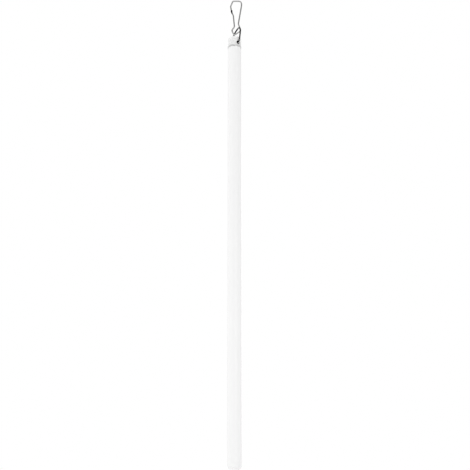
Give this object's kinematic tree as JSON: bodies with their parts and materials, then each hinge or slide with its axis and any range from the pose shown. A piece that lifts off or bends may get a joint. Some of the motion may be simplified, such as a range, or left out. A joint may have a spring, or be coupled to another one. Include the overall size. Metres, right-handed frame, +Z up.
{
  "type": "curtain draw wand",
  "caption": "Slim white round wand with a cross-drilled end cap, hung from a bent-wire snap clip with a springy gate.",
  "frame": {"origin": "underside of the snap clip's crown, straight above the rod, where a carrier's eye or ring takes the load", "axes": "+Z up along the rod's axis, the wand hanging towards -Z; -Y is the front, +X is the side of the clip's leg without a gate"},
  "size_m": [0.0105, 0.0106, 0.3357],
  "materials": {
    "white_rod": "smooth white, satin gloss",
    "cap_plastic": "moulded natural plastic, slightly translucent, pale grey against the rod",
    "clip_wire": "bright nickel plate on drawn spring wire"
  },
  "bodies": {
    "clip": {"snap_clip": "clip_wire"},
    "wand": {"rod": "white_rod", "end_cap": "cap_plastic"}
  },
  "joints": [
    {"name": "wand_swing", "type": "hinge", "parent": "clip", "child": "wand", "pos_m": [0, 0, -0.034], "axis": [0.6018, -0.7986, 0], "range_deg": [-115, 115]}
  ]
}
